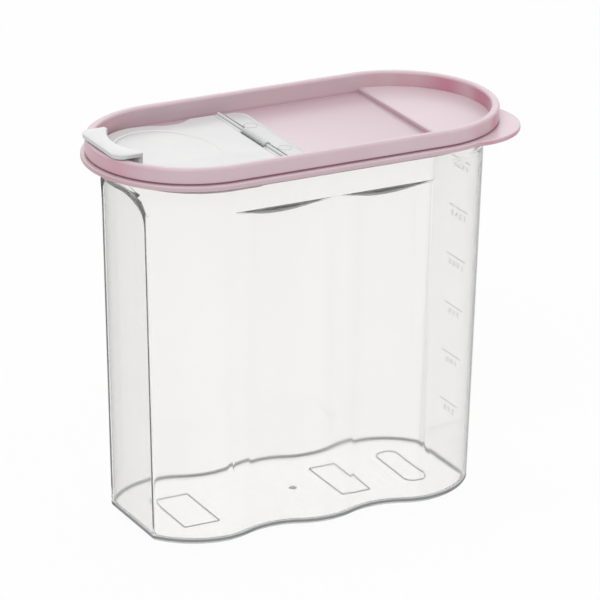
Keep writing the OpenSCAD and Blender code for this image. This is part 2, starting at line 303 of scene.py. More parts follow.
class Wire:
    """A node's output, on which arithmetic adds Math nodes."""

    def __init__(self, graph: "Graph", socket: bpy.types.NodeSocket) -> None:
        """Keeps the graph and the socket."""
        self.graph, self.socket = graph, socket

    def calc(self, operation: str, *others: "Wire | float") -> "Wire":
        """The result of one Math operation on this wire and others."""
        sockets = dict(enumerate((self, *others)))
        return self.graph.out("ShaderNodeMath", sockets, operation=operation)

    def __add__(self, other: "Wire | float") -> "Wire":
        """Sum."""
        return self.calc("ADD", other)

    def __mul__(self, other: "Wire | float") -> "Wire":
        """Product."""
        return self.calc("MULTIPLY", other)

    def __sub__(self, other: "Wire | float") -> "Wire":
        """Difference."""
        return self.calc("SUBTRACT", other)

    def __rsub__(self, other: float) -> "Wire":
        """A number less this wire."""
        return (self * -1.0) + other

    __radd__ = __add__
    __rmul__ = __mul__

    def between(self, low: float, high: float) -> "Wire":
        """0 at low and 1 at high, smoothly, for values either side."""
        sockets = {"Value": self, "From Min": low, "From Max": high, "To Min": 0.0, "To Max": 1.0}
        return self.graph.out("ShaderNodeMapRange", sockets, interpolation_type="SMOOTHSTEP")


class Graph:
    """The node tree of one material or world."""

    def __init__(self, owner: bpy.types.ID) -> None:
        """Empties the owner's tree."""
        owner.use_nodes = True
        self.tree = owner.node_tree
        self.tree.nodes.clear()

    def node(self, kind: str, sockets: dict | None = None, **settings: object) -> bpy.types.Node:
        """Adds a node.

        Args:
            kind: The node's type.
            sockets: Values or wires by the socket's name or number.
            settings: Properties, which are set first.

        Returns:
            The node.
        """
        node = self.tree.nodes.new(kind)
        for key, value in settings.items():
            setattr(node, key, value)
        for key, value in (sockets or {}).items():
            if isinstance(value, Wire):
                self.tree.links.new(value.socket, node.inputs[key])
            else:
                node.inputs[key].default_value = value
        return node

    def out(
        self, kind: str, sockets: dict | None = None, key: str | int = 0, **settings: object
    ) -> Wire:
        """One output of a new node."""
        return Wire(self, self.node(kind, sockets, **settings).outputs[key])

    def place(self) -> Wire:
        """Object coordinates, in metres of the frame."""
        return self.out("ShaderNodeTexCoord", key="Object")

    def axes(self, vector: Wire) -> list[Wire]:
        """The three parts of a vector."""
        node = self.node("ShaderNodeSeparateXYZ", {"Vector": vector})
        return [Wire(self, part) for part in node.outputs]

    def upright(self) -> Wire:
        """How far a face looks up, from -1 to 1."""
        return self.axes(self.out("ShaderNodeTexCoord", key="Normal"))[2]

    def depth(self) -> Wire:
        """The piece's painted shade, up to 1, or frost, down to -1."""
        return self.out("ShaderNodeAttribute", key="Fac", attribute_name=SHADE_AND_FROST)

    def noise(
        self, vector: Wire, scale: float, detail: float = 2.0, stretch: Triple = (1.0, 1.0, 1.0)
    ) -> Wire:
        """Noise from 0 to 1, stretched along the axes."""
        vector = self.out("ShaderNodeMapping", {"Vector": vector, "Scale": stretch})
        return self.out("ShaderNodeTexNoise", {"Vector": vector, "Scale": scale, "Detail": detail})

    def blend(self, share: Wire, first: Wire | Colour, second: Wire | Colour) -> Wire:
        """A colour between two others."""
        return self.out("ShaderNodeMix", {0: share, 6: first, 7: second}, 2, data_type="RGBA")

    def bump(self, height: Wire, strength: float, distance: float) -> Wire:
        """A normal roughened by a height."""
        return self.out("ShaderNodeBump", {"Height": height, "Strength": strength, "Distance": distance})

    def mix(self, share: Wire, first: Wire, second: Wire) -> Wire:
        """A shader between two others."""
        return self.out("ShaderNodeMixShader", {0: share, 1: first, 2: second})

    def finish(self, surface: Wire, kind: str = "ShaderNodeOutputMaterial") -> None:
        """Ends the tree in a surface."""
        self.node(kind, {"Surface": surface})

    def ray(self, *kinds: str) -> Wire:
        """1 for a ray of any of these kinds."""
        path = self.node("ShaderNodeLightPath")
        first, *others = (Wire(self, path.outputs[kind]) for kind in kinds)
        for other in others:
            first = first.calc("MAXIMUM", other)
        return first


# What clouds and grain add to a mottled plastic's roughness, and the grain's height in metres.
CLOUD_ROUGH = 0.05
GRAIN_ROUGH = 0.04
GRAIN_HIGH = 0.00004


@dataclass(frozen=True)
class Finish:
    """What every finish has: a name, and a shader that its own class works out."""

    name: str

    def surface(self, graph: Graph) -> Wire:
        """The shader of the finish."""
        raise NotImplementedError

    def material(self) -> bpy.types.Material:
        """The finish as a new material."""
        made = bpy.data.materials.new(self.name)
        graph = Graph(made)
        graph.finish(self.surface(graph))
        return made


@dataclass(frozen=True)
class ClearPolypropylene(Finish):
    """Clear polished polypropylene: glossy, a little hazy, with painted grey shade at its creases, ledges
    and outline.
    """

    name: str = "clear_polypropylene"
    colour: Colour = (0.99, 0.985, 0.975, 1.0)
    streak: Colour = (0.965, 0.96, 0.95, 1.0)
    # Colour of the painted shade at creases, ledges and the outline.
    edge: Colour = (0.07, 0.075, 0.08, 1.0)
    shadow: Colour = (0.95, 0.95, 0.95, 1.0)
    # How strong and how sharp the painted shade towards the outline is.
    rim: float = 2.6
    outline_shade_power: float = 5.0
    ior: float = 1.49
    polish: float = 0.03
    haze: float = 0.04
    etch: float = 0.6
    clear: float = 0.95
    flow_range: Pair = (0.3, 0.7)
    grain_rough: float = 0.01
    flow_scale: float = 24.0
    flow_stretch: Triple = (1.0, 1.0, 0.12)
    grain_scale: float = 900.0

    def surface(self, graph: Graph) -> Wire:
        """The shader, which lets lamps through.

        Its tint takes painted grey shade by the piece's painted-shade value, and towards its
        outline by a power of how far the surface turns away. Grey and frosted places are rougher.
        """
        place = graph.place()
        flow = graph.noise(place, self.flow_scale, stretch=self.flow_stretch)
        grain = graph.noise(place, self.grain_scale)
        depth = graph.depth()
        away = graph.out("ShaderNodeLayerWeight", {"Blend": 0.5}, "Facing")
        # Painted shade: grey by the painted-shade value and towards the outline.
        share = (depth + away.calc("POWER", self.outline_shade_power) * self.rim).calc("MINIMUM", 1.0)
        rough = flow.between(*self.flow_range) * self.haze + grain * self.grain_rough
        glass = graph.out("ShaderNodeBsdfPrincipled", {
            "Base Color": graph.blend(share, graph.blend(flow, self.colour, self.streak), self.edge),
            "Roughness": rough + depth.calc("ABSOLUTE") * self.etch + self.polish,
            "IOR": self.ior,
            "Transmission Weight": self.clear,
        })
        through = graph.out("ShaderNodeBsdfTransparent", {"Color": self.shadow})
        return graph.mix(graph.ray("Is Shadow Ray"), glass, through)


@dataclass(frozen=True)
class MottledPlastic(Finish):
    """A clouded, fine-grained plastic, whose own class works out its tint."""

    colour: Colour
    cloudy: Colour
    ior: float = 1.49
    roughness: float = 0.16
    clear: float = 0.0
    cloud_scale: float = 45.0
    grain_scale: float = 1100.0
    bump: float = 0.1
    cloud_range: Pair = (0.35, 0.7)

    def tint(self, graph: Graph, place: Wire, tone: Wire) -> Wire:
        """The tint at a place, from the clouded tone."""
        raise NotImplementedError

    def surface(self, graph: Graph) -> Wire:
        """The shader, with clouds and a grain in its tint, roughness and normal."""
        place = graph.place()
        cloud = graph.noise(place, self.cloud_scale, 3.0)
        grain = graph.noise(place, self.grain_scale)
        tone = graph.blend(cloud.between(*self.cloud_range), self.colour, self.cloudy)
        return graph.out("ShaderNodeBsdfPrincipled", {
            "Base Color": self.tint(graph, place, tone),
            "Roughness": cloud * CLOUD_ROUGH + grain * GRAIN_ROUGH + self.roughness,
            "IOR": self.ior,
            "Transmission Weight": self.clear,
            "Normal": graph.bump(grain, self.bump, GRAIN_HIGH),
        })


@dataclass(frozen=True)
class SatinPolyethylene(MottledPlastic):
    """Dusty pink polyethylene: satin, with painted light on its upper faces and painted shade in its
    groove.
    """

    name: str = "satin_polyethylene"
    colour: Colour = (0.58, 0.435, 0.48, 1.0)
    cloudy: Colour = (0.60, 0.46, 0.505, 1.0)
    # Painted top light on faces that look up.
    pale: Colour = (0.80, 0.72, 0.745, 1.0)
    # Colour of the painted shade.
    painted_shade: Colour = (0.30, 0.11, 0.165, 1.0)
    # Painted rose shade on the walls near both ends.
    rose: Colour = (0.55, 0.19, 0.28, 1.0)
    # Painted shade below the flange's top.
    under: Colour = (0.50, 0.37, 0.41, 1.0)
    flange_top: float = 0.1801
    tray: Pair = (0.1788, 0.1798)
    brim: Pair = (0.186, 0.188)
    end: Pair = (0.052, 0.086)
    ear_end: Pair = (0.0, 0.05)
    ior: float = 1.5
    roughness: float = 0.27
    cloud_scale: float = 30.0
    rose_scale: float = 34.0
    rose_stretch: Triple = (1.0, 1.0, 0.4)
    rose_range: Pair = (0.36, 0.58)
    rose_shade_share: Pair = (0.4, 0.45)
    upright_range: Pair = (0.55, 0.98)
    wall_range: Pair = (0.1, 0.6)
    painted_top_light_share: Triple = (0.5, 0.22, 0.18)
    under_shade_share: float = 0.5
    grain_scale: float = 1400.0
    bump: float = 0.12

    def tint(self, graph: Graph, place: Wire, tone: Wire) -> Wire:
        """The tint.

        It is painted paler where the surface looks up, as painted light, less so from the tray's
        height on and again at the brim. It gets a little painted shade below the flange's top, and the
        most where the painted-shade value says, with clouds of painted rose shade on the walls near both
        ends, stronger at the ear's.
        """
        across, _, height = graph.axes(place)
        upright = graph.upright()
        wall = 1.0 - upright.calc("ABSOLUTE").between(*self.wall_range)
        patch = graph.noise(place, self.rose_scale, 1.0, self.rose_stretch).between(*self.rose_range)
        ends = across.calc("ABSOLUTE").between(*self.end) * patch
        most, at_tray, at_brim = self.painted_top_light_share
        lit = most - height.between(*self.tray) * at_tray - height.between(*self.brim) * at_brim
        low = 1.0 - height.between(self.flange_top, self.flange_top + 1e-4)
        least, more = self.rose_shade_share
        # Painted top light: faces that look up are made paler.
        tone = graph.blend(upright.between(*self.upright_range) * lit, tone, self.pale)
        # Painted shade on the walls below the flange's top.
        tone = graph.blend(wall * low * self.under_shade_share, tone, self.under)
        # Painted rose shade, in clouds, on the walls near both ends.
        tone = graph.blend(wall * ends * (across.between(*self.ear_end) * more + least), tone, self.rose)
        # Painted shade where the piece's painted-shade value says: groove, wall foot and tray strip.
        return graph.blend(graph.depth(), tone, self.painted_shade)


@dataclass(frozen=True)
class MilkyPolypropylene(MottledPlastic):
    """Milky clear polypropylene of the flap and its hinge plate, with painted grey-green shade at its
    edges.
    """

    name: str = "milky_polypropylene"
    colour: Colour = (0.72, 0.725, 0.72, 1.0)
    cloudy: Colour = (0.76, 0.762, 0.758, 1.0)
    clear: float = 0.16
    # Colour of the painted shade on upright faces and edges.
    edge: Colour = (0.42, 0.47, 0.455, 1.0)
    edge_range: Pair = (0.15, 0.8)
    edge_shade_share: float = 0.7

    def tint(self, graph: Graph, place: Wire, tone: Wire) -> Wire:
        """The tint, with the painted edge shade on upright faces and where the painted-shade value says.
        """
        side = 1.0 - graph.upright().calc("ABSOLUTE").between(*self.edge_range)
        # Painted edge shade.
        return graph.blend((side * self.edge_shade_share).calc("MAXIMUM", graph.depth()), tone, self.edge)


def settle(
    piece: bpy.types.Object, body: Body, slot: Slot, finish: bpy.types.Material, *nodes: str
) -> bpy.types.Object:
    """Dresses a piece and fixes it to its body.

    Args:
        piece: The new piece, already in place.
        body: The body that it rides on.
        slot: The record's material slot of its finish; not used.
        finish: Its material.
        nodes: CAD nodes that it stands for.

    Returns:
        The piece.
    """
    piece.data.materials.clear()
    piece.data.materials.append(finish)
    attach(piece, body.value)
    if nodes:
        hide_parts(*nodes)
    log.info("%s: %d faces on %s", piece.name, len(piece.data.polygons), body.value)
    return piece


# ---------------------------------------------------------------- container

# Shares of each stretch of the container's wall, from its foot to its rim.
RISE = np.concatenate([[0, 0.003, 0.006, 0.009], np.linspace(0, 1, 13)[1:-1], [0.99, 0.998, 1.0]])
FADE = np.linspace(0, 1, 9)[1:]
CLIMB = np.array([0.04, 0.5, 0.96])
NECK = np.linspace(0, 1, 7)
BRIM = np.array([0.05, 0.5, 0.95, 1.0])
ROWS = len(RISE) + len(FADE) + len(CLIMB) + len(NECK) + len(BRIM)
# How much painted shade the first rows above the foot get, and shares of the bottom's rows up to its
# edge.
FOOT_SHADE = np.array([1.0, 1.0, 0.4, 0.0])
CAP = np.array([0, 0.5, 0.97, 0.995])
# How many rows a rounded edge of the container takes.
EDGE_ROWS = 8
# How many graduations there are, and the millilitres from one to the next.
MARKS = 6
MARK_STEP = 250


@dataclass
class Container:
    """The clear one-piece container with lobed long sides and flat arched ends."""

    height: float = 176.4
    wall: float = 1.8
    floor: float = 2.2
    end_x: float = 51.5
    base_r: float = 38.9
    rim_r: float = 42.8
    neck_in: float = 0.7
    neck_z: float = 170.4
    flute_top: float = 163.0
    flute_depth: float = 5.3
    flute_x: float = 27.0
    ledge_slope: float = 40.0
    panel_x: float = 83.4
    panel_lean: float = 1.6
    arch_top: float = 169.0
    arch_half: float = 22.4
    arch_r: float = 14.0
    arch_rise: float = 1.2
    arch_columns: int = 30
    flat_columns: int = 6
    round_columns: int = 35
    round_power: float = 1.6
    side_columns: int = 130
    crease_soft: float = 0.14
    crease_grow: float = 0.2
    arch_grow: float = 0.4
    foot_r: float = 2.3
    heel_r: float = 1.7
    arch_grey: float = -0.9
    # Painted shade in the creases beside the flat ends.
    crease_shade: float = 0.15
    ledge_low: float = 0.3
    neck_gap: float = 1.3
    neck_half: float = 1.0
    mark_z: float = 33.0
    mark_pitch: float = 24.6
    mark_half: float = 8.5
    mark_thin: float = 0.22
    mark_high: float = 0.1
    marks_y: float = -4.5
    number_size: float = 4.0
    number_space: float = 1.9
    number_place: Pair = (-0.5, -1.6)
    sunk: float = 0.2
    frame_high: float = 0.25
    frame_wide: float = 0.7
    frames: tuple[tuple[float, ...], ...] = (
        (-56.0, -1.3, 9.4, 17.6, 1.0), (26.0, 0.0, 7.4, 17.4, 1.0), (60.0, 1.0, 6.2, 19.0, 5.0)
    )
    gate: Triple = (1.2, 0.6, 2.0)
    gate_high: float = 0.4
    finish: ClearPolypropylene = ClearPolypropylene()
    frosted: ClearPolypropylene = ClearPolypropylene(
        "frosted_polypropylene", (0.8, 0.8, 0.8, 1.0), (0.78, 0.78, 0.78, 1.0), polish=0.3, clear=0.6
    )
    # Dark grey painted as shade on the floor's raised frames and gate mark.
    shaded_emboss: ClearPolypropylene = ClearPolypropylene(
        "emboss_painted_shade", (0.3, 0.3, 0.3, 1.0), (0.36, 0.36, 0.36, 1.0), polish=0.25, clear=0.7
    )
    panel: Array = field(init=False)
    side: Array = field(init=False)
    end: Array = field(init=False)
    front: Array = field(init=False)
    share: Array = field(init=False)

    def __post_init__(self) -> None:
        """Lays out the columns: flat end, round corner, long side, and so on round."""
        turn = np.linspace(0, np.pi / 2, self.arch_columns + 1)[1:]
        flat = self.arch_half - self.arch_r
        level = np.linspace(0, flat, self.flat_columns + 1)
        half = np.concatenate([level, flat + self.arch_r * np.sin(turn)]) / self.arch_half
        panel = np.concatenate([-half[:0:-1], half])
        round_off = np.linspace(0, 1, self.round_columns + 1)[1:] ** self.round_power
        along = np.linspace(1, -1, self.side_columns + 2)[1:-1]
        parts = [
            (0, panel, 1, 1), (1, round_off, 1, 1), (2, along, 1, 1), (1, round_off[::-1], -1, 1),
            (0, -panel, -1, 1), (1, round_off, -1, -1), (2, -along, 1, -1), (1, round_off[::-1], 1, -1),
        ]
        kind = np.concatenate([np.full(len(share), kind) for kind, share, _, _ in parts])
        self.panel, self.side = kind == 0, kind == 2
        self.share = np.concatenate([share for _, share, _, _ in parts])
        self.end = np.concatenate([np.full(len(share), end) for _, share, end, _ in parts])
        self.front = np.concatenate([np.full(len(share), front) for _, share, _, front in parts])

    def pick(self, flat: Array | float, side: Array, turned: Array | float) -> Array:
        """Values of the flat ends, the long sides and the round corners, each in its columns."""
        return np.where(self.panel, flat, np.where(self.side, side, turned))

    def radius(self, height: Array) -> Array:
        """Radius of the round ends: it grows evenly up to the top of the flutes."""
        return self.base_r + (self.rim_r - self.base_r) * np.clip(height / self.flute_top, 0, 1)

    def wave(self, x: Array, inset: float) -> Array:
        """Depth of the long side behind its leaning plane.

        Two arcs of one radius touch: hollow round each flute and proud round each lobe. An
        inset widens the hollow ones and narrows the proud ones.
        """
        turn = 2 * np.arctan(self.flute_depth / self.flute_x)
        radius = self.flute_x / (2 * np.sin(turn))
        off = np.abs(np.abs(x) - self.flute_x)
        hollow = self.flute_depth - radius + np.sqrt(np.maximum((radius + inset) ** 2 - off**2, 0))
        past = np.minimum(self.flute_x - off, (radius - inset) * np.sin(turn))
        proud = radius - np.sqrt(np.maximum((radius - inset) ** 2 - past**2, 0))
        return np.where(off < (radius + inset) * np.sin(turn), hollow, proud)

    def form(self, inset: float, start: float, stop: float) -> Array:
        """The container's outer face, or its inner one with an inset, as rows from start to stop.

        Rows follow the foot of each ledge, then its top, then the foot of the neck, so that
        every crease lies on a row. Above its ledge a flute fades to nothing and the flat end
        steps out to the round one. Where flat and round meet, the distance from the round
        end's centre is a soft minimum of both: half of their sum less the hypotenuse of their
        difference and a small length.
        """
        slope = np.tan(np.radians(self.ledge_slope))
        lean = np.tan(np.radians(self.panel_lean))

        def flat_x(height: Array) -> Array:
            """Distance of the flat end from the round end's centre."""
            return self.panel_x - inset + height * lean - self.end_x

        def crease(height: Array) -> Array:
            """Half width of the flat end."""
            return np.sqrt(np.maximum((self.radius(height) - inset) ** 2 - flat_x(height) ** 2, 0))

        shoulder = self.arch_top - self.arch_r
        reach = np.abs(self.share) * crease(np.array(shoulder))
        across = np.maximum(reach - self.arch_half + self.arch_r, 0)
        arch = shoulder + np.sqrt(np.maximum((self.arch_r + inset * self.arch_grow) ** 2 - across**2, 0))
        top = self.flute_top + inset * (1 - slope)
        depth = self.wave(self.share * self.end_x, inset)
        ledge = np.minimum(self.flute_top + inset - depth * slope, top - self.ledge_low)
        arch_end = arch[self.panel].min()
        turned = arch_end + (ledge[self.side].max() - arch_end) * self.share
        foot = self.pick(arch, ledge, turned)
        head = self.pick(arch + self.arch_rise, np.full_like(arch, top), turned + self.ledge_low)
        neck = np.maximum(self.neck_z - inset, head + self.neck_gap)
        below, above = neck - self.neck_half, neck + self.neck_half
        height = np.concatenate([
            start + (foot - start) * RISE[:, None],
            foot + (head - foot) * FADE[:, None],
            head + (below - head) * CLIMB[:, None],
            below + (above - below) * NECK[:, None],
            above + (stop - above) * BRIM[:, None],
        ])
        faded = len(RISE) + len(FADE)
        eased = NECK * NECK * (3 - 2 * NECK)
        fading = np.concatenate([np.zeros(len(RISE)), FADE, np.ones(ROWS - faded)])[:, None]
        necked = np.concatenate([np.zeros(faded + len(CLIMB)), eased, np.ones(len(BRIM))])[:, None]

        radius = self.radius(height) - inset
        centre = self.end_x - self.neck_in * necked
        flat_y = self.share * crease(height)
        round_x = np.sqrt(np.maximum(radius**2 - flat_y**2, 0))
        begin = np.arcsin(np.clip(crease(height) / radius, -1, 1))
        turn = begin + (np.pi / 2 - begin) * self.share
        x = self.pick(
            self.end * (flat_x(height) * (1 - fading) + round_x * fading + centre),
            self.share * centre,
            self.end * (centre + radius * np.cos(turn)),
        )
        sunk = (self.wave(x, inset) - inset) * (1 - fading) * (np.abs(x) < 2 * self.flute_x)
        y = self.pick(flat_y, self.front * (radius - sunk), self.front * (radius * np.sin(turn) - sunk))
        reach = np.abs(x) - centre
        size = np.maximum(np.hypot(reach, y), TINY)
        cut = flat_x(height) / np.maximum(reach / size, 0.2)
        soft = (radius + cut - np.hypot(radius - cut, self.crease_soft + inset * self.crease_grow)) / 2
        scale = np.where(self.side, 1.0, 1 + (soft / size - 1) * (1 - fading))
        x = np.where(self.side, x, np.sign(x) * (centre + reach * scale))
        return np.stack([x, y * scale, height], -1)

    def grey(self, inset: float) -> Array:
        """How much painted shade or frost each point of form gets.

        The creases beside the flat ends get a little painted grey shade up to their arch, the arch's
        ledge is frosted, and each flute's ledge gets painted grey shade by its depth, both most at their
        top.
        """
        painted_shade = self.wave(self.share * self.end_x, inset) / self.flute_depth
        across = self.pick(self.arch_grey, painted_shade, 0.0)
        swell = 0.2 + 0.8 * np.concatenate([[0.0], FADE]) ** 2
        weight = np.zeros((ROWS, len(painted_shade)))
        # Painted shade on the creases and on the flutes' ledges; frost on the arch's ledge.
        weight[: len(RISE)] = np.where(self.panel & (np.abs(self.share) == 1), self.crease_shade, 0.0)
        weight[len(RISE) - 1 : len(RISE) + len(FADE)] += np.clip(across, -1, 1) * swell[:, None]
        return np.clip(weight, -1, 1)

    def bottom(self, inset: float, radius: float, foot: float) -> Array:
        """Rows of the flat bottom and its rounded edge, from the middle out.

        Each row of the edge is the form itself, inset by radius * (1 - sin turn) more, at a
        rise of radius * (1 - cos turn).
        """
        turn = np.linspace(0, np.pi / 2, EDGE_ROWS + 1)[:-1]
        edge = np.stack([
            self.form(inset + radius * (1 - np.sin(a)), foot + radius * (1 - np.cos(a)), self.height)[0]
            for a in turn
        ])
        line = ((-self.end_x, 0), (self.end_x, 0))
        return np.concatenate([cap_rows(edge[0, :, :2], foot, line, CAP), edge])

    def shell(self) -> bpy.types.Object:
        """The whole shell: foot, outer face, round rim, inner face and floor, with the painted shade of
        each.
        """
        brim = self.height - self.wall / 2
        outer = self.form(0.0, self.foot_r, brim)
        inner = self.form(self.wall, self.floor + self.heel_r, brim)
        middle = (outer[-1] + inner[-1]) / 2
        across = outer[-1] - middle
        turn = np.linspace(0, np.pi, EDGE_ROWS + 1)[1:-1, None, None]
        over = middle + across * np.cos(turn)
        over[..., 2] = brim + self.wall / 2 * np.sin(turn[..., 0])
        foot = self.bottom(0.0, self.foot_r, 0.0)
        heel = self.bottom(self.wall, self.heel_r, self.floor)
        turned = np.linspace(0, 1, EDGE_ROWS + 1)[:-1]
        rise = np.zeros(foot.shape[:2])
        swell = rise.copy()
        # Painted shade: the foot's fillet turns grey from its middle on; the floor's is darkest in its
        # middle.
        rise[len(CAP) :] = np.clip(turned * 3 - 1.5, 0, 1)[:, None]
        swell[len(CAP) :] = np.sin(np.pi * turned)[:, None] ** 3
        wall = self.grey(0.0)
        wall[: len(FOOT_SHADE)] = FOOT_SHADE[:, None]
        lining = self.grey(self.wall)
        depth = np.concatenate([rise, wall, np.zeros(over.shape[:2]), lining[::-1], swell[::-1]])
        grid = np.concatenate([foot, outer, over, inner[::-1], heel[::-1]])
        return grid_object("container_shell", grid, sharp=30.0, depth=depth)

    def floor_frames(self) -> bpy.types.Object:
        """Plain raised frames on the inside of the floor, each a thin closed ring."""
        low, high = self.floor - self.sunk, self.floor + self.frame_high
        rings = []
        for x, y, half_x, half_y, radius in self.frames:
            outline = rounded((x, y), (half_x, half_y), radius)
            inner = outline - outward(outline) * self.frame_wide
            section = ((outline, low), (outline, high), (inner, high), (inner, low))
            rings.append(np.stack([ring(*row) for row in section]))
        return grid_object("floor_frames", *rings, loop=True)

    def gate_dot(self) -> bpy.types.Object:
        """The round gate mark in the middle of the floor, a low dome turned round its centre."""
        x, y, radius = self.gate
        low = self.floor - self.sunk
        turn = np.linspace(0, np.pi / 2, 7)
        dome = np.column_stack([radius * np.cos(turn), self.floor + self.gate_high * np.sin(turn)])
        return grid_object("gate_dot", lathe(np.concatenate([[[0, low], [radius, low]], dome]), (x, y)))

    def on_panel(self, across: Array, tall: Array, proud: Array) -> Array:
        """Points on the leaning flat end at +X: across it, up it, and proud of it."""
        lean = np.tan(np.radians(self.panel_lean))
        return np.stack([self.panel_x + tall * lean + proud, across + self.marks_y, tall], -1)

    def number(self, text: str, height: float) -> bpy.types.Mesh:
        """A plain raised number under the graduation line at a height."""
        made = bpy.data.curves.new("number", "FONT")
        made.body, made.size, made.extrude = text, self.number_size, self.mark_high
        made.space_character = self.number_space
        made.align_x, made.align_y, made.resolution_u = "CENTER", "TOP", 3
        holder = linked("number", made)
        bpy.context.view_layer.update()
        shown = holder.evaluated_get(bpy.context.evaluated_depsgraph_get())
        mesh = bpy.data.meshes.new_from_object(shown)
        bpy.data.objects.remove(holder)
        co = np.zeros(len(mesh.vertices) * 3)
        mesh.vertices.foreach_get("co", co)
        across, tall, proud = co.reshape(-1, 3).T
        aside, under = self.number_place
        placed = self.on_panel(across + aside, height + under + tall, proud) * MM
        mesh.vertices.foreach_set("co", placed.ravel())
        return mesh

    def marks(self) -> bpy.types.Object:
        """Six raised graduation lines with plain numbers under them, on the flat end at +X."""
        half, high = self.mark_half, self.mark_high
        outline = np.concatenate([
            corner((half, 0), self.mark_thin, -90, 90, 5), corner((-half, 0), self.mark_thin, 90, 270, 5)
        ])
        bar = plate(outline, -high, high, high / 2, ((-half, 0), (half, 0)), rows=3)
        heights = self.mark_z + self.mark_pitch * np.arange(MARKS)
        lines = [self.on_panel(bar[..., 0], height + bar[..., 1], bar[..., 2]) for height in heights]
        piece = grid_object("graduation_marks", *lines)
        texts = [self.number(str(MARK_STEP * step), height) for step, height in enumerate(heights, 1)]
        weld(piece.data, 1e-7, *texts)
        for text in texts:
            bpy.data.meshes.remove(text)
        return piece

    def build(self) -> None:
        """Builds and dresses the container's pieces."""
        settle(self.shell(), Body.CONTAINER, Slot.BODY, self.finish.material(), "container_body")
        settle(self.marks(), Body.CONTAINER, Slot.BODY, self.frosted.material())
        # The raised frames and gate mark get painted dark shade.
        shaded_emboss = self.shaded_emboss.material()
        for piece in (self.floor_frames(), self.gate_dot()):
            settle(piece, Body.CONTAINER, Slot.BODY, shaded_emboss)


# ---------------------------------------------------------------- lid


